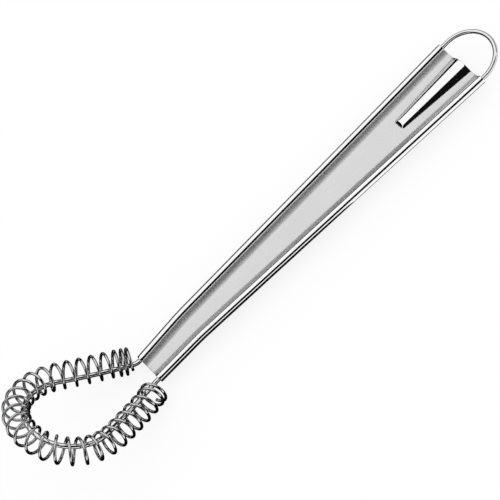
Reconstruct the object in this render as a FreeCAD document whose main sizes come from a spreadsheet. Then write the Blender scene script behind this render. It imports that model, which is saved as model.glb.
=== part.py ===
# Coil whisk: a tapered sheet-steel handle with rolled edges, a teardrop loop of
# wire crimped into the lower ends of the rolled edges, a loose coil spring
# threaded on that loop, and a hanging loop crimped into the upper ends.
# Millimetres. The whisk lies on its back: +Z is the handle's front, +Y runs
# towards the hanging loop, and the whisk's loop rises towards -Y.

import FreeCAD, Part
import math
import os
from FreeCAD import Placement, Rotation, Vector

doc = FreeCAD.newDocument("coil_whisk")

# ---------------------------------------------------------------- driving sizes
driving_sizes = [
    # handle
    ("upper_length", 153.0, "handle from its slight bend to the hanging-loop end"),
    ("lower_length", 24.0, "handle from its bend to the whisk end"),
    ("set_back_angle", 5.2, "degrees that the lower handle leans to the back"),
    ("handle_bend_radius", 60.0, "radius of that bend"),
    ("bead_half_spacing_top", 12.5, "centre line to rolled edge, hanging-loop end"),
    ("bead_half_spacing_low", 6.4, "centre line to rolled edge, whisk end"),
    ("sheet", 0.8, "sheet thickness"),
    ("bead_diameter", 3.7, "outside of a rolled edge"),
    ("bead_hollow", 2.0, "hollow inside a rolled edge"),
    ("squeeze_run", 4.0, "length over which the hollow narrows to the hanging loop's wire"),
    ("dish_radius", 4.0, "concave blend from the plate up to a rolled edge"),
    ("flat_press", 0.02, "depth that the plate's back is pressed flat"),
    ("flat_inset", 4.4, "rolled edge's centre line to the pressing tool's side"),
    # embossed rib at the hanging-loop end
    ("rib_length", 36.5, "length of the embossed rib"),
    ("rib_nose", 1.6, "length over which its narrow end rises"),
    ("rib_nose_width", 3.8, "rib width where that rise starts"),
    ("rib_nose_height", 0.4, "rib height where that rise starts"),
    ("rib_width_narrow", 5.4, "rib width at the narrow end"),
    ("rib_width_wide", 10.7, "rib width at the open end"),
    ("rib_height_narrow", 1.3, "rib height at the narrow end"),
    ("rib_height_wide", 2.8, "rib height at the open end"),
    # teardrop loop of wire
    ("loop_wire_diameter", 2.0, "wire of the teardrop loop"),
    ("loop_wire_grip", 18.0, "length of wire crimped inside a rolled edge"),
    ("loop_exit", 1.9, "rolled edge's end to the corner where the wire turns"),
    ("loop_exit_radius", 6.0, "radius of that corner"),
    ("loop_length", 55.2, "corner to tip, measured along the dished surface"),
    ("loop_tip_radius", 18.3, "radius of the round tip"),
    ("loop_rise_angle", 21.0, "degrees that the loop rises at its root"),
    ("loop_dish_radius", 189.0, "radius of its curve towards the front"),
    # coil spring
    ("coil_wire_diameter", 1.25, "wire of the coil"),
    ("coil_diameter", 11.55, "outside of the coil"),
    ("coil_turns", 29.75, "turns in all"),
    ("close_turns", 1.5, "turns wound close together at the left end"),
    ("opening_turns", 2.0, "turns over which the pitch then opens out"),
    ("closing_turns", 0.4, "turns over which it closes again near the right end"),
    ("end_close_turns", 1.35, "close turns at the right end"),
    ("close_pitch", 2.3, "pitch of the close turns"),
    ("coil_start", 2.2, "loop corner to the coil's left end, along the wire"),
    ("coil_end", 3.97, "the same gap at its right end"),
    ("coil_offset_root", 2.3, "coil's centre outside the wire, at its ends"),
    ("coil_offset_leg", 3.2, "coil's centre outside the wire, along the legs"),
    ("coil_offset_tip", 2.8, "coil's centre outside the wire, round the tip"),
    ("coil_offset_run", 12.0, "length over which one offset becomes the next"),
    # hanging loop
    ("hanger_wire_diameter", 1.9, "wire of the hanging loop"),
    ("hanger_grip", 30.0, "length of wire inside a rolled edge"),
    ("hanger_leg", 2.0, "rolled edge's end to the start of the arch"),
    ("hanger_reach", 13.2, "height of the arch"),
    ("hanger_tilt", 6.0, "degrees that the arch leans to the front"),
    # place of the handle's bend in the whisk's own frame
    ("bend_y", -43.71, "bend along Y"),
    ("bend_z", 6.795, "bend above the table"),
]

sheet_object = doc.addObject("Spreadsheet::Sheet", "Sizes")
for row, (alias, value, note) in enumerate(driving_sizes, start=1):
    sheet_object.set(f"A{row}", note)
    sheet_object.set(f"B{row}", str(value))
    sheet_object.setAlias(f"B{row}", alias)
doc.recompute()


def size(alias):
    return float(sheet_object.get(alias))


bend_point = Vector(0, size("bend_y"), size("bend_z"))
set_back = math.radians(size("set_back_angle"))
handle_taper = math.atan2(
    size("bead_half_spacing_top") - size("bead_half_spacing_low"),
    size("upper_length") + size("lower_length"),
)


# ------------------------------------------------------------- shared geometry
def handle_point(x, along, height=0.0):
    """A point on the handle: along is measured from the bend, positive upwards."""
    radius = size("handle_bend_radius")
    half_arc = radius * math.tan(set_back / 2)
    if along >= half_arc:
        return bend_point + Vector(x, along, height)
    if along <= -half_arc:
        lean = -set_back
        base = Vector(0, along * math.cos(set_back), along * math.sin(set_back))
    else:
        lean = -set_back * (half_arc - along) / (2 * half_arc)
        base = Vector(0, half_arc + radius * math.sin(lean), radius * (math.cos(lean) - 1))
    up = Vector(0, math.sin(lean), math.cos(lean))
    return bend_point + Vector(x, 0, 0) + base + up * height


def bead_half_spacing(along):
    return size("bead_half_spacing_low") + (along + size("lower_length")) * math.tan(handle_taper)


def arc_from_tangent(start, tangent, end):
    """An edge from start to end that leaves start along tangent."""
    chord = end - start
    direction = Vector(chord).normalize()
    bulge = tangent - direction * tangent.dot(direction)
    if bulge.Length < 1e-6:
        return Part.LineSegment(start, end).toShape()
    half_turn = math.atan2(bulge.Length, tangent.dot(direction))
    sagitta = chord.Length / 2 * math.tan(half_turn / 2)
    middle = (start + end) / 2 + bulge.normalize() * sagitta
    return Part.Arc(start, middle, end).toShape()


def biarc(start, start_tangent, end, end_tangent):
    """Two arcs that join two points with the tangents given at both."""
    chord = end - start
    turn = 1 - start_tangent.dot(end_tangent)
    lean = chord.dot(start_tangent + end_tangent)
    if turn < 1e-9:
        return [Part.LineSegment(start, end).toShape()]
    reach = (math.sqrt(lean * lean + 2 * turn * chord.dot(chord)) - lean) / (2 * turn)
    joint = (start + start_tangent * reach + end - end_tangent * reach) / 2
    joint_tangent = (end - end_tangent * reach - start - start_tangent * reach).normalize()
    return [
        arc_from_tangent(start, start_tangent, joint),
        arc_from_tangent(joint, joint_tangent, end),
    ]


tangent_step = 1e-3  # distance between two points that give a direction


def direction_at(curve, station):
    return (curve(station + tangent_step) - curve(station - tangent_step)).normalize()


def arc_route(curve, stations):
    """Tangent arcs along curve(station), through the stations listed."""
    points = [curve(station) for station in stations]
    tangents = [direction_at(curve, station) for station in stations]
    edges = []
    for index in range(len(points) - 1):
        edges += biarc(points[index], tangents[index], points[index + 1], tangents[index + 1])
    return edges


def evenly(first, last, count):
    return [first + (last - first) * index / count for index in range(count + 1)]


def swept_wire(label, edges, radius_expression):
    """A round wire of the given radius along a chain of edges."""
    route = doc.addObject("Part::Feature", f"{label}_route")
    route.Shape = Part.Wire(edges)
    start_edge = edges[0]
    direction = start_edge.tangentAt(start_edge.FirstParameter)
    section = doc.addObject("Part::Circle", f"{label}_section")
    section.setExpression("Radius", radius_expression)
    turn = Rotation(Vector(0, 0, 1), direction)
    section.Placement = Placement(start_edge.valueAt(start_edge.FirstParameter), turn)
    sweep = doc.addObject("Part::Sweep", label)
    sweep.Label = label
    sweep.Sections = [section]
    sweep.Spine = (route, [f"Edge{number}" for number in range(1, len(edges) + 1)])
    sweep.Solid = True
    sweep.Frenet = False
    return sweep


# ---------------------------------------------------------------- handle shell
bead_radius = size("bead_diameter") / 2
dish_radius = size("dish_radius")
plate_top = size("sheet") - bead_radius
plate_bottom = -bead_radius
dish_height = plate_top + dish_radius
dish_reach = math.sqrt((bead_radius + dish_radius) ** 2 - dish_height**2)


def handle_outline(along):
    """Closed outline across the handle: flat plate, dished sides, rolled edges."""
    spacing = bead_half_spacing(along)
    towards_bead = Vector(dish_reach, 0, -dish_height).normalize()
    sideways = Vector(-towards_bead.z, 0, towards_bead.x) * -1
    dish_centre = Vector(spacing - dish_reach, 0, dish_height)
    bead_centre = Vector(spacing, 0, 0)
    under_radius = dish_radius + size("sheet")
    reach = (bead_radius + dish_radius) / 2 + (under_radius**2 - bead_radius**2) / (
        2 * (bead_radius + dish_radius)
    )
    notch_drop = math.sqrt(under_radius**2 - reach**2)

    def dish(radius, angle):
        return dish_centre + Vector(math.sin(angle), 0, -math.cos(angle)) * radius

    def bead(angle):
        return bead_centre + Vector(math.cos(angle), 0, math.sin(angle)) * bead_radius

    tangent_point = dish_centre + towards_bead * dish_radius
    tangent_angle = math.atan2(towards_bead.x, -towards_bead.z)
    notch = dish_centre + towards_bead * reach + sideways * notch_drop
    notch_arm = notch - dish_centre
    notch_angle = math.atan2(notch_arm.x, -notch_arm.z)
    roll_start = math.atan2(-towards_bead.z, -towards_bead.x)
    roll_end = math.atan2(notch.z - bead_centre.z, notch.x - bead_centre.x)
    right_side = [
        (dish(dish_radius, 0), dish(dish_radius, tangent_angle / 2), tangent_point),
        (tangent_point, bead(roll_start / 2), bead(0)),
        (bead(0), bead(roll_end / 2), notch),
        (notch, dish(under_radius, notch_angle / 2), dish(under_radius, 0)),
    ]

    def place(point, side):
        return handle_point(side * point.x, along, point.z)

    edges = [Part.LineSegment(place(right_side[0][0], -1), place(right_side[0][0], 1)).toShape()]
    edges += [Part.Arc(*[place(point, 1) for point in arc]).toShape() for arc in right_side]
    edges += [Part.LineSegment(place(right_side[3][2], 1), place(right_side[3][2], -1)).toShape()]
    for start, middle, end in reversed(right_side):
        edges += [Part.Arc(place(end, -1), place(middle, -1), place(start, -1)).toShape()]
    return Part.Wire(edges)


def loft(label, wires):
    """A ruled solid through closed outlines."""
    sections = []
    for number, wire in enumerate(wires, start=1):
        section = doc.addObject("Part::Feature", f"{label}_outline_{number}")
        section.Shape = wire
        sections.append(section)
    result = doc.addObject("Part::Loft", label)
    result.Sections = sections
    result.Solid = True
    result.Ruled = True
    return result


bend_half_arc = size("handle_bend_radius") * math.tan(set_back / 2)
bend_steps = 4
bend_stations = evenly(-bend_half_arc, bend_half_arc, bend_steps)
handle_stations = [-size("lower_length")] + bend_stations + [size("upper_length")]
blank = loft("handle_blank", [handle_outline(along) for along in handle_stations])

overrun = 1.0  # how far a cutting shape passes the face that it cuts
squeezed_from = size("upper_length") - size("hanger_grip")
open_places = [-size("lower_length") - overrun, *bend_stations, squeezed_from - size("squeeze_run")]
squeezed_places = [squeezed_from, size("upper_length") + overrun]
hollow_stations = [(along, size("bead_hollow")) for along in open_places]
hollow_stations += [(along, size("hanger_wire_diameter")) for along in squeezed_places]


def hollow_circle(side, along, diameter):
    x = side * bead_half_spacing(along)
    centre = handle_point(x, along)
    normal = (handle_point(x, along, 1.0) - centre).cross(Vector(1, 0, 0))
    return Part.Wire(Part.makeCircle(diameter / 2, centre, normal))


hollows = []
for side_name, side in (("left", -1), ("right", 1)):
    circles = [hollow_circle(side, along, diameter) for along, diameter in hollow_stations]
    hollows.append(loft(f"{side_name}_hollow", circles))


def rib_outline(along, width, height, wall, below):
    """Outline of the embossed rib; wall is taken off for the hollow behind it."""
    half = width / 2 - wall
    base = plate_bottom - below
    shoulder = plate_top - wall
    ridge = plate_top + height - wall
    corners = [(-half, base), (-half, shoulder), (0, ridge), (half, shoulder), (half, base)]
    points = [handle_point(x, along, z) for x, z in corners]
    return Part.Wire([
        Part.LineSegment(points[0], points[1]).toShape(),
        Part.Arc(points[1], points[2], points[3]).toShape(),
        Part.LineSegment(points[3], points[4]).toShape(),
        Part.LineSegment(points[4], points[0]).toShape(),
    ])


def rib_loft(label, wall, past_end):
    """The rib's outer shape, or with a wall its hollow, which runs past the open end."""
    top = size("upper_length")
    start = top - size("rib_length") + wall
    growth = past_end / (size("rib_length") - size("rib_nose"))
    end_width = size("rib_width_wide") + (size("rib_width_wide") - size("rib_width_narrow")) * growth
    end_height = size("rib_height_wide") + (size("rib_height_wide") - size("rib_height_narrow")) * growth
    stations = [
        (start, size("rib_nose_width"), size("rib_nose_height")),
        (start + size("rib_nose"), size("rib_width_narrow"), size("rib_height_narrow")),
        (top + past_end, end_width, end_height),
    ]
    outlines = [rib_outline(*station, wall, past_end / 2) for station in stations]
    return loft(label, outlines)


rib = rib_loft("rib", 0.0, 0.0)
rib_hollow = rib_loft("rib_hollow", size("sheet"), overrun)

# The tool that presses the plate's back flat, tapered like the handle.
bead_growth = "(Sizes.bead_half_spacing_top - Sizes.bead_half_spacing_low)"
bend_run = "Sizes.handle_bend_radius * tan(Sizes.set_back_angle / 2)"
low_share = f"(Sizes.lower_length + {bend_run}) / (Sizes.upper_length + Sizes.lower_length)"
low_half_width = f"Sizes.bead_half_spacing_low + {bead_growth} * {low_share} - Sizes.flat_inset"
top_half_width = "Sizes.bead_half_spacing_top - Sizes.flat_inset"
press_top = "Sizes.flat_press - Sizes.bead_diameter / 2"
press_sizes = {
    "Ymin": bend_run,
    "Ymax": "Sizes.upper_length + 1",
    "Xmin": f"-({low_half_width})",
    "Xmax": low_half_width,
    "X2min": f"-({top_half_width})",
    "X2max": top_half_width,
    "Zmin": f"{press_top} - 1",
    "Zmax": press_top,
    "Z2min": f"{press_top} - 1",
    "Z2max": press_top,
}
flat_press = doc.addObject("Part::Wedge", "flat_press")
for side_name, expression in press_sizes.items():
    flat_press.setExpression(side_name, expression)
flat_press.Placement = Placement(bend_point, Rotation())

handle_solid = doc.addObject("Part::Fuse", "handle_solid")
handle_solid.Base = blank
handle_solid.Tool = rib
all_cuts = doc.addObject("Part::MultiFuse", "all_cuts")
all_cuts.Shapes = [*hollows, rib_hollow]
hollow_handle = doc.addObject("Part::Cut", "hollow_handle")
hollow_handle.Base = handle_solid
hollow_handle.Tool = all_cuts
handle_shell = doc.addObject("Part::Cut", "handle_shell")
handle_shell.Label = "handle_shell"
handle_shell.Base = hollow_handle
handle_shell.Tool = flat_press


# -------------------------------------------------------- teardrop loop of wire
loop_rise = math.radians(size("loop_rise_angle"))
loop_low = -size("lower_length") - size("loop_exit")
root_spacing = bead_half_spacing(loop_low)
tip_radius = size("loop_tip_radius")
tip_centre = size("loop_length") - tip_radius


# The legs' angle makes them tangent to the round tip.
root_to_tip_centre = math.hypot(tip_centre, root_spacing)
leg_angle = math.atan2(tip_centre, root_spacing) - math.acos(tip_radius / root_to_tip_centre)
leg_length = (tip_centre - tip_radius * math.sin(leg_angle)) / math.cos(leg_angle)
tip_arc_length = tip_radius * (math.pi + 2 * leg_angle)
loop_path_length = 2 * leg_length + tip_arc_length


def loop_plan(distance):
    """Flat plan of the loop: (across, outwards from the root) and its outward normal."""
    if distance > loop_path_length / 2:
        (across, out), (normal_across, normal_out) = loop_plan(loop_path_length - distance)
        return (-across, out), (-normal_across, normal_out)
    if distance <= leg_length:
        across = -root_spacing - distance * math.sin(leg_angle)
        return (across, distance * math.cos(leg_angle)), (-math.cos(leg_angle), -math.sin(leg_angle))
    angle = (distance - leg_length) / tip_radius - leg_angle
    normal = (-math.cos(angle), math.sin(angle))
    return (tip_radius * normal[0], tip_centre + tip_radius * normal[1]), normal


def dished(across, out):
    """Puts a point of the flat plan on the curved surface of the loop."""
    radius = size("loop_dish_radius")
    angle = loop_rise + out / radius
    root = handle_point(0, loop_low)
    back = radius * (math.sin(angle) - math.sin(loop_rise))
    up = radius * (math.cos(loop_rise) - math.cos(angle))
    return root + Vector(across, -back, up)


def loop_point(distance, outward=0.0):
    (across, out), normal = loop_plan(distance)
    return dished(across + normal[0] * outward, out + normal[1] * outward)


def loop_front(distance):
    """Unit normal of the loop's surface, towards the front."""
    (_, out), _ = loop_plan(distance)
    angle = loop_rise + out / size("loop_dish_radius")
    return Vector(0, math.sin(angle), math.cos(angle))


def rolled_edge_point(side, along):
    return handle_point(side * bead_half_spacing(along), along)


def corner_tangent_length(before, after, radius):
    return radius * math.tan(before.getAngle(after) / 2)


def joining_arcs(point, direction, edge, to_its_start):
    """Arcs between a straight run's end, which points along direction, and an edge's end."""
    if to_its_start:
        first = edge.FirstParameter
        return biarc(point, direction, edge.valueAt(first), edge.tangentAt(first))
    last = edge.LastParameter
    return biarc(edge.valueAt(last), edge.tangentAt(last), point, direction * -1)


leg_arcs = 3
tip_arcs = 8


def loop_wire_edges():
    """Left straight grip, the corner, the loop, and the same again on the right."""
    grips = []
    for side, corner_distance in ((-1, 0.0), (1, loop_path_length)):
        inner = rolled_edge_point(side, -size("lower_length") + size("loop_wire_grip"))
        corner = loop_point(corner_distance)
        stub = (corner - inner).normalize()
        leg = (loop_point(corner_distance - side * tangent_step) - corner).normalize()
        reach = corner_tangent_length(stub, leg, size("loop_exit_radius"))
        grips.append((inner, corner - stub * reach, stub, reach))
    left_inner, left_turn, left_stub, reach = grips[0]
    right_inner, right_turn, right_stub, _ = grips[1]
    stations = evenly(reach, leg_length, leg_arcs)
    stations += evenly(leg_length, loop_path_length - leg_length, tip_arcs)[1:]
    stations += evenly(loop_path_length - leg_length, loop_path_length - reach, leg_arcs)[1:]
    body = arc_route(loop_point, stations)
    return [
        Part.LineSegment(left_inner, left_turn).toShape(),
        *joining_arcs(left_turn, left_stub, body[0], True),
        *body,
        *joining_arcs(right_turn, right_stub, body[-1], False),
        Part.LineSegment(right_turn, right_inner).toShape(),
    ]


loop_wire = swept_wire("loop_wire", loop_wire_edges(), "Sizes.loop_wire_diameter / 2")

# ---------------------------------------------------------------- coil spring
# The coil keeps its pitch along its own centre line, which is longer than the
# wire round the tip because it runs outside it.
coil_radius = (size("coil_diameter") - size("coil_wire_diameter")) / 2
tip_stretch = 1 + size("coil_offset_tip") / tip_radius
coil_path_length = 2 * leg_length + tip_arc_length * tip_stretch
coil_run = coil_path_length - size("coil_start") - size("coil_end")
close_equivalent = (
    size("close_turns") + size("opening_turns") / 2 + size("closing_turns") / 2 + size("end_close_turns")
)
open_run = coil_run - close_equivalent * size("close_pitch")
open_pitch = open_run / (size("coil_turns") - close_equivalent)


def coil_station(turn):
    """Distance along the coil's centre line at a turn; the turns at both ends are close."""
    extra = open_pitch - size("close_pitch")
    opening = min(max(turn - size("close_turns"), 0.0), size("opening_turns"))
    opened = max(turn - size("close_turns") - size("opening_turns"), 0.0)
    closing_from = size("coil_turns") - size("end_close_turns") - size("closing_turns")
    closing = min(max(turn - closing_from, 0.0), size("closing_turns"))
    closed = max(turn - closing_from - size("closing_turns"), 0.0)
    extra_run = extra * (opening**2 / (2 * size("opening_turns")) + opened)
    extra_run -= extra * (closing**2 / (2 * size("closing_turns")) + closed)
    return size("coil_start") + turn * size("close_pitch") + extra_run


def wire_distance(coil_distance):
    """Distance along the loop wire beside a point of the coil's centre line."""
    if coil_distance > coil_path_length / 2:
        return loop_path_length - wire_distance(coil_path_length - coil_distance)
    if coil_distance <= leg_length:
        return coil_distance
    return leg_length + (coil_distance - leg_length) / tip_stretch


def eased(share):
    share = min(1.0, max(0.0, share))
    return share * share * (3 - 2 * share)


def coil_centre(distance):
    from_end = min(distance, loop_path_length - distance)
    root, leg, tip = (size(f"coil_offset_{place}") for place in ("root", "leg", "tip"))
    run = size("coil_offset_run")
    outward = root + (leg - root) * eased(from_end / run)
    outward += (tip - leg) * eased((from_end - leg_length + run / 2) / run)
    return loop_point(distance, outward)


def coil_point(turn):
    distance = wire_distance(coil_station(turn))
    along = direction_at(coil_centre, distance)
    front = loop_front(distance)
    outward = along.cross(front).normalize()
    angle = 2 * math.pi * (turn - 0.5)
    return coil_centre(distance) + (outward * math.cos(angle) - front * math.sin(angle)) * coil_radius


arcs_per_turn = 4
coil_edges = arc_route(coil_point, evenly(0, size("coil_turns"), round(size("coil_turns") * arcs_per_turn)))
coil_spring = swept_wire("coil_spring", coil_edges, "Sizes.coil_wire_diameter / 2")


# ---------------------------------------------------------------- hanging loop
arch_arcs = 8
arch_start = math.radians(6)


def hanger_edges():
    """A straight grip in each rolled edge, joined by an arch."""
    top = size("upper_length")
    tilt = math.radians(size("hanger_tilt"))
    half_width = bead_half_spacing(top + size("hanger_leg"))
    reach = size("hanger_reach")
    root = handle_point(0, top + size("hanger_leg"))

    def arch(angle):
        out = reach * math.sin(angle)
        return root + Vector(-half_width * math.cos(angle), out * math.cos(tilt), out * math.sin(tilt))

    body = arc_route(arch, evenly(arch_start, math.pi - arch_start, arch_arcs))
    edges = []
    for side, edge in ((-1, body[0]), (1, body[-1])):
        inner = rolled_edge_point(side, top - size("hanger_grip"))
        exit_point = rolled_edge_point(side, top + size("hanger_leg") / 3)
        direction = (exit_point - inner).normalize()
        arcs = joining_arcs(exit_point, direction, edge, side < 0)
        if side < 0:
            edges += [Part.LineSegment(inner, exit_point).toShape(), *arcs, *body]
        else:
            edges += [*arcs, Part.LineSegment(exit_point, inner).toShape()]
    return edges


hanging_loop = swept_wire("hanging_loop", hanger_edges(), "Sizes.hanger_wire_diameter / 2")

# ---------------------------------------------------------- check and write out
doc.recompute()
sub_parts = [handle_shell, loop_wire, coil_spring, hanging_loop]

for item in doc.Objects:
    for state in ("Invalid", "Error"):
        if state in item.State:
            raise RuntimeError(f"{item.Label} is {state}")
for part in sub_parts:
    if part.Shape.isNull() or not part.Shape.isValid() or len(part.Shape.Solids) != 1:
        raise RuntimeError(f"{part.Label} is not one valid solid")

os.makedirs("parts", exist_ok=True)
whole = FreeCAD.BoundBox()
for part in sub_parts:
    part.Shape.exportStep(f"parts/{part.Label}.step")
    whole.add(part.Shape.BoundBox)
    print(f"{part.Label}: {part.Shape.Volume:.1f} mm3, {len(part.Shape.Faces)} faces")
print(f"X {whole.XMin:.2f} {whole.XMax:.2f}  Y {whole.YMin:.2f} {whole.YMax:.2f}")
print(f"Z {whole.ZMin:.2f} {whole.ZMax:.2f}")
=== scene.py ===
import math
import bpy
from mathutils import Euler, Matrix, Vector


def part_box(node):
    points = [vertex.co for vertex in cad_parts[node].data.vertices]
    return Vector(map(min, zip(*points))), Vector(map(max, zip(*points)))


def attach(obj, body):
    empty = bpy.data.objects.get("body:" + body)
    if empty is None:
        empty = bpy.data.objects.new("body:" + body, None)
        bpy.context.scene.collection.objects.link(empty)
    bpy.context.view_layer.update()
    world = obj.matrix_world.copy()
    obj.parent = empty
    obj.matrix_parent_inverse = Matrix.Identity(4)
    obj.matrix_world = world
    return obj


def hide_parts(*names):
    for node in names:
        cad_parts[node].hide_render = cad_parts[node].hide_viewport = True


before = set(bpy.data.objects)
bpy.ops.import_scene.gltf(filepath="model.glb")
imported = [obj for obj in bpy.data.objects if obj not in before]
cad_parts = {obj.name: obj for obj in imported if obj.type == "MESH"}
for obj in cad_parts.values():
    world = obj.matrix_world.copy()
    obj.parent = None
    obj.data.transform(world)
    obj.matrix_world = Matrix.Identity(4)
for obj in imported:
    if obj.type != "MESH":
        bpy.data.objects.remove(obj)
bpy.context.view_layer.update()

millimetre = 0.001
fullTurn = 2 * math.pi
print("frame loaded:", ", ".join(sorted(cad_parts)))


def toLinear(hexColour):
    channels = [int(hexColour[i:i + 2], 16) / 255 for i in (1, 3, 5)]
    return [c / 12.92 if c <= 0.04045 else ((c + 0.055) / 1.055) ** 2.4 for c in channels] + [1.0]


# adds a node, sets its properties, and fills its sockets with values or links
def addNode(tree, kind, settings=None, inputs=None):
    node = tree.nodes.new(kind)
    for name, value in (settings or {}).items():
        setattr(node, name, value)
    for name, value in (inputs or {}).items():
        socket = node.inputs[name]
        if isinstance(value, bpy.types.NodeSocket):
            tree.links.new(value, socket)
        else:
            socket.default_value = value
    return node


def eased(share):
    share = min(1.0, max(0.0, share))
    return share * share * (3 - 2 * share)


def evenly(first, last, count):
    return [first + (last - first) * i / count for i in range(count + 1)]


# the lesser of two values, with a rounded change from one to the other
def softMin(first, second, softness):
    gap = first - second
    return (first + second - math.sqrt(gap * gap + softness * softness)) / 2


def newMaterial(name):
    material = bpy.data.materials.new(name)
    material.use_nodes = True
    material.node_tree.nodes.clear()
    return material, material.node_tree


def finishMaterial(tree, shader):
    addNode(tree, "ShaderNodeOutputMaterial", inputs={"Surface": shader.outputs[0]})


def finishPiece(name, mesh, material, body, nodes):
    piece = bpy.data.objects.new(name, mesh)
    bpy.context.scene.collection.objects.link(piece)
    mesh.materials.clear()
    mesh.materials.append(material)
    mesh.shade_smooth()
    mesh.set_sharp_from_angle(angle=math.radians(45))
    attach(piece, body)
    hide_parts(*nodes)
    print(name, len(mesh.polygons), "faces")


# cold-rolled stainless sheet: pale satin flats, rougher and greyer where it was drawn
# into the dished sides, glossier where rollers and the rib's punch burnished it, and painted
# near-white there as a painted highlight
sheetFinish = {
    # the near-white colour of the burnished zones is a painted highlight
    "flatColour": "#DCDCDD", "paintedHighlightColour": "#FAFAFA",
    "flatRoughness": 0.27, "burnishedRoughness": 0.06,
    "stretchedRoughness": 0.28,         # added in the dished sides
    "cloud": 0.07,                      # roughness that comes and goes
    "cloudSize": 1000 / 60,             # mm, so 60 clouds to the metre
    "lineSpacing": 0.35,                # mm; real rolling lines are 0.05 mm, too fine to show
    "lineLength": 1000 / 14, "lineDepth": 0.004,    # mm
    "lineStrength": 0.25, "lineShare": 0.35,
}


def makeSheetMaterial():
    finish = sheetFinish
    material, tree = newMaterial("millFinishStainlessSheet")
    place = addNode(tree, "ShaderNodeTexCoord")
    across = 1 / (finish["lineSpacing"] * millimetre)
    stretchedPlace = addNode(tree, "ShaderNodeMapping", inputs={
        "Vector": place.outputs["Object"],
        "Scale": (across, 1 / (finish["lineLength"] * millimetre), across),
    })
    lines = addNode(tree, "ShaderNodeTexNoise", inputs={
        "Vector": stretchedPlace.outputs[0], "Scale": 1.0, "Detail": 3.0, "Roughness": 0.6,
    })
    clouds = addNode(tree, "ShaderNodeTexNoise", inputs={
        "Vector": place.outputs["Object"], "Scale": 1 / (finish["cloudSize"] * millimetre),
        "Detail": 4.0, "Roughness": 0.55,
    })
    burnishAndHighlight = addNode(tree, "ShaderNodeAttribute", {"attribute_name": "burnishAndHighlight"})
    stretch = addNode(tree, "ShaderNodeAttribute", {"attribute_name": "stretched"})
    mixed = addNode(tree, "ShaderNodeMath", {"operation": "MULTIPLY_ADD"}, {
        0: lines.outputs["Fac"], 1: finish["lineShare"], 2: clouds.outputs["Fac"],
    })
    cloudy = addNode(tree, "ShaderNodeMapRange", inputs={
        "Value": mixed.outputs[0], "From Min": 0.35, "From Max": 1.0,
        "To Min": -finish["cloud"] / 2, "To Max": finish["cloud"],
    })
    base = addNode(tree, "ShaderNodeMapRange", inputs={
        "Value": burnishAndHighlight.outputs["Fac"],
        "To Min": finish["flatRoughness"], "To Max": finish["burnishedRoughness"],
    })
    cloudShare = addNode(tree, "ShaderNodeMapRange", inputs={
        "Value": burnishAndHighlight.outputs["Fac"], "To Min": 1.0, "To Max": 0.35,
    })
    clouded = addNode(tree, "ShaderNodeMath", {"operation": "MULTIPLY_ADD"}, {
        0: cloudy.outputs[0], 1: cloudShare.outputs[0], 2: base.outputs[0],
    })
    roughness = addNode(tree, "ShaderNodeMath", {"operation": "MULTIPLY_ADD"}, {
        0: stretch.outputs["Fac"], 1: finish["stretchedRoughness"], 2: clouded.outputs[0],
    })
    # base colour turns near-white where the mask is high: a painted highlight on the rolled edges,
    # rib and cut edges; the lower roughness there is real burnish
    colour = addNode(tree, "ShaderNodeMix", {"data_type": "RGBA"}, {
        "Factor": burnishAndHighlight.outputs["Fac"],
        6: toLinear(finish["flatColour"]), 7: toLinear(finish["paintedHighlightColour"]),
    })
    bump = addNode(tree, "ShaderNodeBump", inputs={
        "Height": lines.outputs["Fac"], "Strength": finish["lineStrength"],
        "Distance": finish["lineDepth"] * millimetre,
    })
    finishMaterial(tree, addNode(tree, "ShaderNodeBsdfPrincipled", inputs={
        "Base Color": colour.outputs[2], "Metallic": 1.0,
        "Roughness": roughness.outputs[0], "Normal": bump.outputs[0],
    }))
    return material


# drawn stainless wire: glossy, with fine lines from the die along it, so each highlight
# runs down the wire; spring wire is drawn harder and looks a little darker and glossier;
# the line spacing in mm is drawn coarser than the real 0.03 mm, too fine to show
wireFinish = {
    "bright": {
        "name": "brightDrawnStainlessWire", "colour": "#EAEAEA", "roughness": 0.07,
        "lineSpacing": 0.3,
    },
    "spring": {
        "name": "stainlessSpringWire", "colour": "#CACACA", "roughness": 0.04,
        "lineSpacing": 0.25,
    },
    "lineLength": 1000 / 45, "lineDepth": 0.004,    # mm
    "lineStrength": 0.2,
}


def makeWireMaterial(finish):
    material, tree = newMaterial(finish["name"])
    around = addNode(tree, "ShaderNodeAttribute", {"attribute_name": "aroundWire"})
    run = addNode(tree, "ShaderNodeAttribute", {"attribute_name": "wireRun"})
    ring = addNode(tree, "ShaderNodeVectorMath", {"operation": "SCALE"}, {
        0: around.outputs["Vector"], "Scale": 1 / (finish["lineSpacing"] * millimetre),
    })
    runCell = addNode(tree, "ShaderNodeMath", {"operation": "MULTIPLY"}, {
        0: run.outputs["Fac"], 1: 1 / (wireFinish["lineLength"] * millimetre),
    })
    runVector = addNode(tree, "ShaderNodeCombineXYZ", inputs={"Z": runCell.outputs[0]})
    place = addNode(tree, "ShaderNodeVectorMath", {"operation": "ADD"}, {
        0: ring.outputs[0], 1: runVector.outputs[0],
    })
    lines = addNode(tree, "ShaderNodeTexNoise", inputs={
        "Vector": place.outputs[0], "Scale": 1.0, "Detail": 3.0, "Roughness": 0.6,
    })
    rough = addNode(tree, "ShaderNodeMapRange", inputs={
        "Value": lines.outputs["Fac"], "From Min": 0.3, "From Max": 0.75,
        "To Min": finish["roughness"] * 0.7, "To Max": finish["roughness"] * 1.5,
    })
    bump = addNode(tree, "ShaderNodeBump", inputs={
        "Height": lines.outputs["Fac"], "Strength": wireFinish["lineStrength"],
        "Distance": wireFinish["lineDepth"] * millimetre,
    })
    finishMaterial(tree, addNode(tree, "ShaderNodeBsdfPrincipled", inputs={
        "Base Color": toLinear(finish["colour"]), "Metallic": 1.0,
        "Roughness": rough.outputs[0], "Normal": bump.outputs[0],
    }))
    return material


sheetMaterial = makeSheetMaterial()
brightWire = makeWireMaterial(wireFinish["bright"])
springWire = makeWireMaterial(wireFinish["spring"])
print("materials made")


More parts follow.
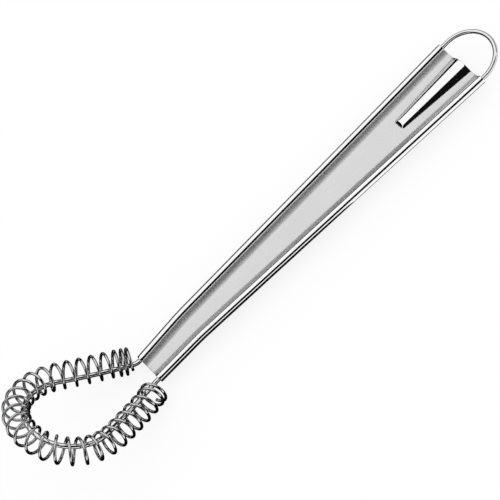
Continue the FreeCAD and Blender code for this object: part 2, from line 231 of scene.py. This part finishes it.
# all sizes from here on are in millimetres
handle = {
    "upperLength": 153.0,       # bend to the hanging end
    "lowerLength": 24.0,        # bend to the whisk end
    "setBack": 5.2,             # degrees that the lower part leans back
    "bendRadius": 60.0,
    "halfSpacingTop": 12.5,     # centre line to a rolled edge, hanging end
    "halfSpacingLow": 6.4,      # the same at the whisk end
    "sheet": 0.8,
    "beadDiameter": 3.7,        # rolled edge
    "dishRadius": 4.0,          # concave sides between plate and rolled edge
    "curlGap": 5.0,             # degrees left open where the roll comes back to the sheet
    "cutRound": 0.15,           # rounding of the cut ends
    "rimBulge": 0.6,            # roundness of the sheet's rolled-in edge
}
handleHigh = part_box("handle_shell")[1]
beadRadius = handle["beadDiameter"] / 2
setBack = math.radians(handle["setBack"])
bend = Vector((
    0,
    handleHigh[1] / millimetre - handle["upperLength"],
    handleHigh[2] / millimetre - beadRadius,
))


# middle of the handle and its upward direction, along from the bend
def handleFrame(along):
    radius = handle["bendRadius"]
    halfArc = radius * math.tan(setBack / 2)
    if along >= halfArc:
        return bend + Vector((0, along, 0)), Vector((0, 0, 1))
    if along <= -halfArc:
        lean = -setBack
        offset = Vector((0, along * math.cos(setBack), along * math.sin(setBack)))
    else:
        lean = -setBack * (halfArc - along) / (2 * halfArc)
        offset = Vector((0, halfArc + radius * math.sin(lean), radius * (math.cos(lean) - 1)))
    return bend + offset, Vector((0, math.sin(lean), math.cos(lean)))


def handlePoint(x, along, height=0.0):
    middle, up = handleFrame(along)
    return middle + Vector((x, 0, 0)) + up * height


def halfSpacing(along):
    spread = handle["halfSpacingTop"] - handle["halfSpacingLow"]
    share = (along + handle["lowerLength"]) / (handle["upperLength"] + handle["lowerLength"])
    return handle["halfSpacingLow"] + spread * share


# embossed rib at the hanging end: steep sides, a low crown and a square narrow end
rib = {
    "length": 36.5,
    "widthNarrow": 5.7, "widthWide": 11.2,
    "heightNarrow": 1.2, "heightWide": 2.8,
    "flank": 38.0,              # degrees that its sides stand up
    "shoulder": 0.8,            # share of the height where the crown begins
    "cornerRadius": 1.1,
    "foldSoft": 0.12, "shoulderSoft": 0.16,
}


def ribHeight(x, along):
    fromNarrow = along - (handle["upperLength"] - rib["length"])
    share = max(0.0, fromNarrow / rib["length"])
    half = (rib["widthNarrow"] + (rib["widthWide"] - rib["widthNarrow"]) * share) / 2
    height = rib["heightNarrow"] + (rib["heightWide"] - rib["heightNarrow"]) * share
    steep = math.tan(math.radians(rib["flank"]))
    shoulderHalf = half - rib["shoulder"] * height / steep
    crown = height * (1 - (1 - rib["shoulder"]) * (x / shoulderHalf) ** 2)
    fromSide, corner = half - abs(x), rib["cornerRadius"]
    if fromSide < corner and fromNarrow < corner:
        edgeGap = corner - math.hypot(corner - fromSide, corner - fromNarrow)
    else:
        edgeGap = min(fromSide, fromNarrow)
    return -softMin(-softMin(edgeGap * steep, crown, rib["shoulderSoft"]), 0.0, rib["foldSoft"])


# how closely the handle's mesh is divided
division = {
    "plate": 34, "dish": 10, "roll": 40, "rim": 4, "cut": 3,
    "lower": 10, "bend": 8, "upper": 44, "ribStart": 30, "rib": 40,
    "ribMargin": 1.0, "ribStartRun": 4.0,   # mm before and after the rib's narrow end
}


# middle line of the sheet across the handle: (x, height, side normal)
def sheetLine(along):
    spacing = halfSpacing(along)
    sheet, dish = handle["sheet"], handle["dishRadius"]
    plateHeight = sheet / 2 - beadRadius
    dishHeight = sheet - beadRadius + dish
    dishReach = math.sqrt((beadRadius + dish) ** 2 - dishHeight ** 2)
    plateHalf = spacing - dishReach
    dishTurn = math.atan2(dishReach, dishHeight)
    # the roll stops just short of the underside of the dished sheet
    under = dish + sheet
    chord = (beadRadius + dish) / 2 + (under ** 2 - beadRadius ** 2) / (2 * (beadRadius + dish))
    notch = math.atan2(math.sqrt(under ** 2 - chord ** 2), beadRadius + dish - chord)
    rollTurn = fullTurn - notch - math.radians(handle["curlGap"])
    right = []
    for share in evenly(0, 1, division["plate"])[1:]:
        right.append((plateHalf * share, plateHeight, 0.0, 1.0))
    for turn in evenly(0, dishTurn, division["dish"])[1:]:
        sideX, sideZ = math.sin(turn), -math.cos(turn)
        middle = dish + sheet / 2
        right.append((plateHalf + sideX * middle, dishHeight + sideZ * middle, -sideX, -sideZ))
    for turn in evenly(0, rollTurn, division["roll"])[1:]:
        angle = math.pi / 2 + dishTurn - turn
        sideX, sideZ = math.cos(angle), math.sin(angle)
        middle = beadRadius - sheet / 2
        right.append((spacing + sideX * middle, sideZ * middle, sideX, sideZ))
    left = [(-x, z, -normalX, normalZ) for x, z, normalX, normalZ in reversed(right)]
    return left + [(0.0, plateHeight, 0.0, 1.0)] + right


# where the cross-sections stand, closer together at the ends, the bend and the rib
def handleStations():
    low, top, cut = -handle["lowerLength"], handle["upperLength"], handle["cutRound"]
    ribFrom = top - rib["length"] - division["ribMargin"]
    ribTo = top - rib["length"] + division["ribStartRun"]
    halfArc = handle["bendRadius"] * math.tan(setBack / 2)
    rounds = [cut * (1 - math.cos(angle)) for angle in evenly(0, math.pi / 2, division["cut"])]
    stations = [low + step for step in rounds]
    stations += evenly(low + cut, -halfArc, division["lower"])[1:]
    stations += evenly(-halfArc, halfArc, division["bend"])[1:]
    stations += evenly(halfArc, ribFrom, division["upper"])[1:]
    stations += evenly(ribFrom, ribTo, division["ribStart"])[1:]
    stations += evenly(ribTo, top - cut, division["rib"])[1:]
    return stations + [top - step for step in reversed(rounds[:-1])]


# where the sheet is burnished and given its painted highlight, and where it is stretched, with the
# width of each fade
zones = {
    "burnishAndHighlightFade": 0.45, "pressFade": 0.5,
    "dishEdge": 0.86,           # dish begins at this share of the bead's radius from its centre
    "stretchReach": 2.8, "stretchFade": 1.0, "stretchEdge": 0.3,
    "ribClear": 3.0,            # the rib's lift ends this far from a bead's centre
}


# the free edges of the sheet, rounded: one half circle of points for each
def sheetRims(line, halfSheet):
    rims = []
    for end, previous in ((-1, -2), (0, 1)):
        x, z, normalX, normalZ = line[end]
        forwardX, forwardZ = x - line[previous][0], z - line[previous][1]
        length = math.hypot(forwardX, forwardZ)
        rim = []
        for step in range(1, division["rim"]):
            turn = math.pi * step / division["rim"]
            out = math.sin(turn) * handle["rimBulge"]
            rim.append((
                x + (normalX * math.cos(turn) + forwardX / length * out) * halfSheet,
                z + (normalZ * math.cos(turn) + forwardZ / length * out) * halfSheet,
            ))
        rims.append(rim)
    return rims


def sheetZones(line, ring, lifts, spacing):
    count = len(line)
    burnishAndHighlightShare = []
    for i, lift in enumerate(lifts):
        inBead = 1.0
        if i < count - 1:
            # rolled edges, the rib's crown and the cut edges get the painted highlight as well as
            # the burnish
            inBead = eased((abs(ring[i][0]) - spacing + beadRadius) / zones["burnishAndHighlightFade"])
        burnishAndHighlightShare.append(max(inBead, eased(lift / zones["pressFade"])))
    dishOuter = spacing - beadRadius * zones["dishEdge"]
    drawn = [
        eased((abs(x) - dishOuter + zones["stretchReach"]) / zones["stretchFade"])
        * eased((dishOuter - abs(x)) / zones["stretchEdge"])
        for x, *_ in line
    ]
    return burnishAndHighlightShare, drawn


def makeHandle():
    vertices, faces, burnishAndHighlight, stretched = [], [], [], []
    stations = handleStations()
    low, top, cut = stations[0], stations[-1], handle["cutRound"]
    for along in stations:
        spacing = halfSpacing(along)
        short = max(0.0, 1 - min(along - low, top - along) / cut)
        halfSheet = handle["sheet"] / 2 - cut * (1 - math.sqrt(1 - short * short))
        line = sheetLine(along)
        ribLimit = spacing - zones["ribClear"]
        lifts = [ribHeight(x, along) if abs(x) < ribLimit else 0.0 for x, *_ in line]
        outer, inner = [], []
        for (x, z, normalX, normalZ), lift in zip(line, lifts):
            outer.append((x + normalX * halfSheet, z + lift + normalZ * halfSheet))
            inner.append((x - normalX * halfSheet, z + lift - normalZ * halfSheet))
        rims = sheetRims(line, halfSheet)
        ring = outer + rims[0] + inner[::-1] + rims[1][::-1]
        vertices += [handlePoint(x, along, z) * millimetre for x, z in ring]
        burnishAndHighlightShare, drawn = sheetZones(line, ring, lifts, spacing)
        rimSize = len(rims[0])
        burnishAndHighlight += burnishAndHighlightShare + [1.0] * rimSize + burnishAndHighlightShare[::-1] + [1.0] * rimSize
        stretched += drawn + [0.0] * rimSize + drawn[::-1] + [0.0] * rimSize
    count, ringSize = len(line), len(ring)
    for j in range(0, (len(stations) - 1) * ringSize, ringSize):
        for i in range(ringSize):
            k = (i + 1) % ringSize
            faces.append((j + i, j + k, j + ringSize + k, j + ringSize + i))
    # flat caps close the two cut ends
    innerStart = count + rimSize
    for base, flip in ((0, True), ((len(stations) - 1) * ringSize, False)):
        caps = []
        for i in range(count - 1):
            opposite = innerStart + count - 1 - i
            caps.append((base + i, base + i + 1, base + opposite - 1, base + opposite))
        caps.append(tuple(base + i for i in range(count - 1, innerStart + 1)))
        caps.append(tuple(base + i % ringSize for i in range(innerStart + count - 1, ringSize + 1)))
        faces += [face[::-1] if flip else face for face in caps]
    mesh = bpy.data.meshes.new("handleSheet")
    mesh.from_pydata(vertices, [], faces)
    mesh.attributes.new("burnishAndHighlight", "FLOAT", "POINT").data.foreach_set("value", burnishAndHighlight)
    mesh.attributes.new("stretched", "FLOAT", "POINT").data.foreach_set("value", stretched)
    finishPiece("handleSheet", mesh, sheetMaterial, "handle", ["handle_shell"])


makeHandle()


# round wire along a path; a coiled one first winds round the path, starting at the inner side
def newWireTree(name, material, coiled):
    tree = bpy.data.node_groups.new(name, "GeometryNodeTree")
    sockets = tree.interface
    sockets.new_socket("Geometry", in_out="INPUT", socket_type="NodeSocketGeometry")
    sockets.new_socket("Wire Diameter", in_out="INPUT", socket_type="NodeSocketFloat")
    sockets.new_socket("Sides", in_out="INPUT", socket_type="NodeSocketInt")
    if coiled:
        sockets.new_socket("Coil Radius", in_out="INPUT", socket_type="NodeSocketFloat")
        sockets.new_socket("Points Per Turn", in_out="INPUT", socket_type="NodeSocketInt")
    sockets.new_socket("Geometry", in_out="OUTPUT", socket_type="NodeSocketGeometry")
    given = addNode(tree, "NodeGroupInput").outputs
    path = addNode(tree, "GeometryNodeMeshToCurve", inputs={"Mesh": given["Geometry"]}).outputs[0]
    if coiled:
        front = addNode(tree, "GeometryNodeInputNamedAttribute", {"data_type": "FLOAT_VECTOR"}, {
            "Name": "front",
        })
        along = addNode(tree, "GeometryNodeInputTangent")
        outward = addNode(tree, "ShaderNodeVectorMath", {"operation": "CROSS_PRODUCT"}, {
            0: along.outputs[0], 1: front.outputs[0],
        })
        index = addNode(tree, "GeometryNodeInputIndex")
        turn = addNode(tree, "ShaderNodeMath", {"operation": "DIVIDE"}, {
            0: index.outputs[0], 1: given["Points Per Turn"],
        })
        fromInside = addNode(tree, "ShaderNodeMath", {"operation": "SUBTRACT"}, {
            0: turn.outputs[0], 1: 0.5,
        })
        angle = addNode(tree, "ShaderNodeMath", {"operation": "MULTIPLY"}, {
            0: fromInside.outputs[0], 1: fullTurn,
        })
        cosine = addNode(tree, "ShaderNodeMath", {"operation": "COSINE"}, {0: angle.outputs[0]})
        sine = addNode(tree, "ShaderNodeMath", {"operation": "SINE"}, {0: angle.outputs[0]})
        outPart = addNode(tree, "ShaderNodeVectorMath", {"operation": "SCALE"}, {
            0: outward.outputs[0], "Scale": cosine.outputs[0],
        })
        frontPart = addNode(tree, "ShaderNodeVectorMath", {"operation": "SCALE"}, {
            0: front.outputs[0], "Scale": sine.outputs[0],
        })
        spoke = addNode(tree, "ShaderNodeVectorMath", {"operation": "SUBTRACT"}, {
            0: outPart.outputs[0], 1: frontPart.outputs[0],
        })
        offset = addNode(tree, "ShaderNodeVectorMath", {"operation": "SCALE"}, {
            0: spoke.outputs[0], "Scale": given["Coil Radius"],
        })
        path = addNode(tree, "GeometryNodeSetPosition", inputs={
            "Geometry": path, "Offset": offset.outputs[0],
        }).outputs[0]
    run = addNode(tree, "GeometryNodeSplineParameter")
    path = addNode(tree, "GeometryNodeStoreNamedAttribute", {
        "data_type": "FLOAT", "domain": "POINT",
    }, {
        "Geometry": path, "Name": "wireRun", "Value": run.outputs["Length"],
    }).outputs[0]
    radius = addNode(tree, "ShaderNodeMath", {"operation": "DIVIDE"}, {
        0: given["Wire Diameter"], 1: 2.0,
    })
    ring = addNode(tree, "GeometryNodeCurvePrimitiveCircle", {"mode": "RADIUS"}, {
        "Resolution": given["Sides"], "Radius": radius.outputs[0],
    }).outputs[0]
    where = addNode(tree, "GeometryNodeInputPosition")
    ring = addNode(tree, "GeometryNodeStoreNamedAttribute", {
        "data_type": "FLOAT_VECTOR", "domain": "POINT",
    }, {
        "Geometry": ring, "Name": "aroundWire", "Value": where.outputs[0],
    }).outputs[0]
    wire = addNode(tree, "GeometryNodeCurveToMesh", inputs={
        "Curve": path, "Profile Curve": ring, "Fill Caps": True,
    }).outputs[0]
    wire = addNode(tree, "GeometryNodeRealizeInstances", inputs={"Geometry": wire}).outputs[0]
    wire = addNode(tree, "GeometryNodeSetMaterial", inputs={
        "Geometry": wire, "Material": material,
    }).outputs[0]
    addNode(tree, "NodeGroupOutput", inputs={"Geometry": wire})
    return tree


# the tree's result on a path of points, as a plain mesh
def runTree(tree, name, points, values, fronts=None):
    mesh = bpy.data.meshes.new(name + "Path")
    steps = [(i, i + 1) for i in range(len(points) - 1)]
    mesh.from_pydata([point * millimetre for point in points], steps, [])
    if fronts:
        attribute = mesh.attributes.new("front", "FLOAT_VECTOR", "POINT")
        for i, front in enumerate(fronts):
            attribute.data[i].vector = front
    carrier = bpy.data.objects.new(name + "Path", mesh)
    bpy.context.scene.collection.objects.link(carrier)
    modifier = carrier.modifiers.new("wire", "NODES")
    modifier.node_group = tree
    for item in tree.interface.items_tree:
        if item.in_out == "INPUT" and item.name in values:
            modifier[item.identifier] = values[item.name]
    evaluated = carrier.evaluated_get(bpy.context.evaluated_depsgraph_get())
    result = bpy.data.meshes.new_from_object(evaluated)
    result.name = name
    bpy.data.objects.remove(carrier)
    bpy.data.meshes.remove(mesh)
    return result


roundWire = newWireTree("roundWire", brightWire, False)
coiledWire = newWireTree("coiledWire", springWire, True)
print("wire trees made")


# teardrop loop of wire, laid on a dished surface
loop = {
    "wire": 2.0, "sides": 24,
    "grip": 18.0,               # inside a rolled edge
    "exit": 1.9, "exitRadius": 6.0,
    "length": 55.2, "tipRadius": 18.3,
    "rise": 21.0,               # degrees that it rises at its root
    "dishRadius": 189.0,
    "cornerSteps": 10, "steps": 320,
    "rootStep": 0.1,            # how far along the wire its direction at the root is taken
}
loopRise = math.radians(loop["rise"])
loopLow = -handle["lowerLength"] - loop["exit"]
rootSpacing = halfSpacing(loopLow)
tipCentre = loop["length"] - loop["tipRadius"]
rootToTip = math.hypot(tipCentre, rootSpacing)
legAngle = math.atan2(tipCentre, rootSpacing) - math.acos(loop["tipRadius"] / rootToTip)
legLength = (tipCentre - loop["tipRadius"] * math.sin(legAngle)) / math.cos(legAngle)
tipArcLength = loop["tipRadius"] * (math.pi + 2 * legAngle)
loopPathLength = 2 * legLength + tipArcLength


# flat teardrop: place and outward normal at a distance from the left root
def loopPlan(distance):
    if distance > loopPathLength / 2:
        across, out, normalAcross, normalOut = loopPlan(loopPathLength - distance)
        return -across, out, -normalAcross, normalOut
    if distance <= legLength:
        across = -rootSpacing - distance * math.sin(legAngle)
        return across, distance * math.cos(legAngle), -math.cos(legAngle), -math.sin(legAngle)
    radius = loop["tipRadius"]
    angle = (distance - legLength) / radius - legAngle
    normalAcross, normalOut = -math.cos(angle), math.sin(angle)
    return radius * normalAcross, tipCentre + radius * normalOut, normalAcross, normalOut


# the same teardrop in its real place, or a line that runs outside it
def loopPoint(distance, outward=0.0):
    across, out, normalAcross, normalOut = loopPlan(distance)
    angle = loopRise + (out + normalOut * outward) / loop["dishRadius"]
    back = loop["dishRadius"] * (math.sin(angle) - math.sin(loopRise))
    up = loop["dishRadius"] * (math.cos(loopRise) - math.cos(angle))
    return handlePoint(0, loopLow) + Vector((across + normalAcross * outward, -back, up))


def loopFront(distance):
    angle = loopRise + loopPlan(distance)[1] / loop["dishRadius"]
    return Vector((0, math.sin(angle), math.cos(angle)))


# points of a round corner between two straight runs
def cornerArc(before, corner, after, radius):
    into = (corner - before).normalized()
    out = (after - corner).normalized()
    turn = into.angle(out)
    inward = (out - into * out.dot(into)).normalized()
    centre = corner - into * radius * math.tan(turn / 2) + inward * radius
    return [
        centre + (into * math.sin(angle) - inward * math.cos(angle)) * radius
        for angle in evenly(0, turn, loop["cornerSteps"])
    ]


def makeLoopWire():
    corners = []
    innerAlong = loop["grip"] - handle["lowerLength"]
    for side, root, near in (
        (-1, 0.0, loop["rootStep"]),
        (1, loopPathLength, loopPathLength - loop["rootStep"]),
    ):
        inner = handlePoint(side * halfSpacing(innerAlong), innerAlong)
        arc = cornerArc(inner, loopPoint(root), loopPoint(near), loop["exitRadius"])
        corners.append([inner] + arc)
    reach = (corners[0][-1] - loopPoint(0)).length
    distances = evenly(reach, loopPathLength - reach, loop["steps"])
    middle = [loopPoint(distance) for distance in distances]
    mesh = runTree(roundWire, "loopWire", corners[0] + middle[1:-1] + corners[1][::-1], {
        "Wire Diameter": loop["wire"] * millimetre, "Sides": loop["sides"],
    })
    finishPiece("loopWire", mesh, brightWire, "handle", ["loop_wire"])


hanger = {
    "wire": 1.9, "sides": 24,
    "grip": 30.0,               # inside a rolled edge
    "leg": 2.0,                 # straight before the arch
    "reach": 13.2, "tilt": 6.0, # height of the arch, degrees that it leans to the front
    "steps": 120,
    "archTrim": 0.08,           # radians left off each end of the arch, where the legs take over
}


def makeHanger():
    top = handle["upperLength"]
    tilt = math.radians(hanger["tilt"])
    half = halfSpacing(top + hanger["leg"])
    root = handlePoint(0, top + hanger["leg"])
    arch = []
    for angle in evenly(hanger["archTrim"], math.pi - hanger["archTrim"], hanger["steps"]):
        across, out = -half * math.cos(angle), hanger["reach"] * math.sin(angle)
        arch.append(root + Vector((across, out * math.cos(tilt), out * math.sin(tilt))))
    places = (top - hanger["grip"], top, top + hanger["leg"] / 3)
    left, right = [
        [handlePoint(side * halfSpacing(place), place) for place in places] for side in (-1, 1)
    ]
    mesh = runTree(roundWire, "hangingLoop", left + arch + right[::-1], {
        "Wire Diameter": hanger["wire"] * millimetre, "Sides": hanger["sides"],
    })
    finishPiece("hangingLoop", mesh, brightWire, "handle", ["hanging_loop"])


# loose coil on the teardrop, close wound at both ends
coil = {
    "wire": 1.25, "sides": 14,
    "outside": 11.546,
    "turns": 29.75, "pointsPerTurn": 44,
    "closeTurns": 1.5, "openingTurns": 2.0,         # left end
    "closingTurns": 0.4, "endCloseTurns": 1.35,     # right end
    "closePitch": 2.3,
    "start": 2.2, "end": 3.97,                      # loop's root to the coil's left and right ends
    # how far the coil's centre runs outside the wire: at its ends, on the legs, round the tip
    "offsetRoot": 2.3, "offsetLeg": 3.2, "offsetTip": 2.8, "offsetRun": 12.0,
}
tipStretch = 1 + coil["offsetTip"] / loop["tipRadius"]
coilPathLength = 2 * legLength + tipArcLength * tipStretch
closeEquivalent = (
    coil["closeTurns"] + coil["openingTurns"] / 2
    + coil["closingTurns"] / 2 + coil["endCloseTurns"]
)
openRun = coilPathLength - coil["start"] - coil["end"] - closeEquivalent * coil["closePitch"]
openPitch = openRun / (coil["turns"] - closeEquivalent)


# distance along the coil's centre line at a turn
def coilStation(turn):
    opening = min(max(turn - coil["closeTurns"], 0.0), coil["openingTurns"])
    opened = max(turn - coil["closeTurns"] - coil["openingTurns"], 0.0)
    closingFrom = coil["turns"] - coil["endCloseTurns"] - coil["closingTurns"]
    closing = min(max(turn - closingFrom, 0.0), coil["closingTurns"])
    closed = max(turn - closingFrom - coil["closingTurns"], 0.0)
    widened = opening ** 2 / (2 * coil["openingTurns"]) + opened
    widened -= closing ** 2 / (2 * coil["closingTurns"]) + closed
    return coil["start"] + turn * coil["closePitch"] + (openPitch - coil["closePitch"]) * widened


# the loop wire's own distance beside a place on the coil's centre line
def wireDistance(coilDistance):
    if coilDistance > coilPathLength / 2:
        return loopPathLength - wireDistance(coilPathLength - coilDistance)
    if coilDistance <= legLength:
        return coilDistance
    return legLength + (coilDistance - legLength) / tipStretch


def coilCentre(distance):
    fromEnd = min(distance, loopPathLength - distance)
    run = coil["offsetRun"]
    onLeg = eased(fromEnd / run)
    onTip = eased((fromEnd - legLength + run / 2) / run)
    outward = coil["offsetRoot"] + (coil["offsetLeg"] - coil["offsetRoot"]) * onLeg
    outward += (coil["offsetTip"] - coil["offsetLeg"]) * onTip
    return loopPoint(distance, outward)


def makeCoil():
    count = round(coil["turns"] * coil["pointsPerTurn"])
    distances = [wireDistance(coilStation(i / coil["pointsPerTurn"])) for i in range(count + 1)]
    mesh = runTree(coiledWire, "coilSpring", [coilCentre(distance) for distance in distances], {
        "Wire Diameter": coil["wire"] * millimetre, "Sides": coil["sides"],
        "Coil Radius": (coil["outside"] - coil["wire"]) / 2 * millimetre,
        "Points Per Turn": coil["pointsPerTurn"],
    }, [loopFront(distance) for distance in distances])
    finishPiece("coilSpring", mesh, springWire, "coil", ["coil_spring"])


makeLoopWire()
makeHanger()
makeCoil()


# table and light; sizes from here on are in metres
studio = {
    "worldLevel": 1.0,
    "tableSize": 6.0, "tableHeight": -0.0005,
    "tablePaint": "#FFFFFF",
    "tableWhite": 0.85,         # share of plain white; the rest is paint, which keeps the shadow
}


# matt white painted board: an even pale ground without shine, which keeps a soft shadow
def makeTable():
    material, tree = newMaterial("paleTable")
    ray = addNode(tree, "ShaderNodeLightPath").outputs
    cameraOrGlossy = addNode(tree, "ShaderNodeMath", {"operation": "ADD", "use_clamp": True}, {
        0: ray["Is Camera Ray"], 1: ray["Is Glossy Ray"],
    })
    seen = addNode(tree, "ShaderNodeMath", {"operation": "ADD", "use_clamp": True}, {
        0: cameraOrGlossy.outputs[0], 1: ray["Is Transmission Ray"],
    })
    share = addNode(tree, "ShaderNodeMath", {"operation": "MULTIPLY"}, {
        0: seen.outputs[0], 1: studio["tableWhite"],
    })
    paint = addNode(tree, "ShaderNodeBsdfDiffuse", inputs={"Color": toLinear(studio["tablePaint"])})
    white = addNode(tree, "ShaderNodeEmission", inputs={"Color": (1, 1, 1, 1), "Strength": 1.0})
    finishMaterial(tree, addNode(tree, "ShaderNodeMixShader", inputs={
        0: share.outputs[0], 1: paint.outputs[0], 2: white.outputs[0],
    }))
    half = studio["tableSize"] / 2
    mesh = bpy.data.meshes.new("table")
    corners = [(-half, -half, 0), (half, -half, 0), (half, half, 0), (-half, half, 0)]
    mesh.from_pydata(corners, [], [(0, 1, 2, 3)])
    mesh.materials.append(material)
    table = bpy.data.objects.new("table", mesh)
    table.location.z = studio["tableHeight"]
    bpy.context.scene.collection.objects.link(table)


# dark cards that only reflections see, as a studio uses to shape bright metal; each is
# plain glowing near-black, so nothing lights or shades it
cards = {
    "colour": "#101010",
    "radius": 1.5,                          # from the object to the standing cards
    "lowWallSpan": (75, 285), "lowWallRise": (0, 33),           # degrees round from +X, degrees up
    "highPanelSpan": (-85, 70), "highPanelRise": (15, 65),
    "steps": 40,
    "handleMargin": (0.04, 0.005), "topMargin": 0.02,           # left, right and above the handle
    "coilRadius": 0.13, "coilShift": -0.015,
    "handleHeight": -0.0002, "coilHeight": -0.0003,             # just over the table
    "archSteps": 12, "discSteps": 48,
}


def makeCard(name, vertices, faces):
    material, tree = newMaterial(name)
    finishMaterial(tree, addNode(tree, "ShaderNodeEmission", inputs={
        "Color": toLinear(cards["colour"]), "Strength": 1.0,
    }))
    mesh = bpy.data.meshes.new(name)
    mesh.from_pydata(vertices, [], faces)
    mesh.materials.append(material)
    card = bpy.data.objects.new(name, mesh)
    bpy.context.scene.collection.objects.link(card)
    for ray in ("camera", "diffuse", "shadow", "transmission", "volume_scatter"):
        setattr(card, "visible_" + ray, False)


def standingCard(name, span, rise, aim):
    radius = cards["radius"]
    angles = evenly(math.radians(span[0]), math.radians(span[1]), cards["steps"])
    heights = [radius * math.tan(math.radians(degrees)) for degrees in rise]
    vertices = [
        (aim.x + math.cos(a) * radius, aim.y + math.sin(a) * radius, height)
        for height in heights for a in angles
    ]
    count = len(angles)
    makeCard(name, vertices, [(i, i + 1, count + i + 1, count + i) for i in range(count - 1)])


# the order, 1 or -1, turns the card to face up
def flatCard(name, outline, height, order):
    makeCard(name, [(x, y, height) for x, y in outline], [tuple(range(len(outline)))[::order]])


def underCards():
    bottom, top = -handle["lowerLength"], handle["upperLength"]
    left, right = cards["handleMargin"]
    topY = (bend.y + top) * millimetre
    spread = halfSpacing(top) * millimetre + right
    reach = hanger["reach"] * millimetre + cards["topMargin"]
    outline = [
        (-halfSpacing(along) * millimetre - left, (bend.y + along) * millimetre)
        for along in (bottom, top)
    ]
    outline += [
        (math.cos(a) * spread, topY + math.sin(a) * reach)
        for a in evenly(math.pi, 0, cards["archSteps"])[1:-1]
    ]
    outline += [
        (halfSpacing(along) * millimetre + right, (bend.y + along) * millimetre)
        for along in (top, bottom)
    ]
    flatCard("handleCard", outline, cards["handleHeight"], -1)
    centreY = (bend.y + loopLow - tipCentre / 2) * millimetre
    radius = cards["coilRadius"]
    flatCard("coilCard", [
        (math.cos(a) * radius + cards["coilShift"], centreY + math.sin(a) * radius)
        for a in evenly(0, fullTurn, cards["discSteps"])[:-1]
    ], cards["coilHeight"], 1)


view = {
    "turn": (5.873, 35.214, 42.577),            # degrees about X, Y, Z
    "distance": 0.9, "field": 0.2,              # to the object, and width seen there
    "aimFromBend": (-2.376, 37.901, 5.582),     # mm
    "sensor": 36.0, "far": 20,
}
aim = (bend + Vector(view["aimFromBend"])) * millimetre

world = bpy.data.worlds.new("studio")
world.use_nodes = True
bpy.context.scene.world = world
background = world.node_tree.nodes["Background"]
background.inputs["Color"].default_value = (1, 1, 1, 1)
background.inputs["Strength"].default_value = studio["worldLevel"]
makeTable()
standingCard("lowWall", cards["lowWallSpan"], cards["lowWallRise"], aim)
standingCard("highPanel", cards["highPanelSpan"], cards["highPanelRise"], aim)
underCards()
print("studio made")

turn = Euler([math.radians(angle) for angle in view["turn"]], "ZYX").to_matrix()
towardsCamera = turn @ Vector((0, 0, 1))
cameraData = bpy.data.cameras.new("camera")
cameraData.sensor_width = view["sensor"]
cameraData.lens = cameraData.sensor_width * view["distance"] / view["field"]
cameraData.clip_end = view["far"]
camera = bpy.data.objects.new("camera", cameraData)
camera.matrix_world = Matrix.Translation(aim + towardsCamera * view["distance"]) @ turn.to_4x4()
bpy.context.scene.collection.objects.link(camera)
bpy.context.scene.camera = camera
bpy.context.scene.view_settings.view_transform = "Standard"
print("camera placed")
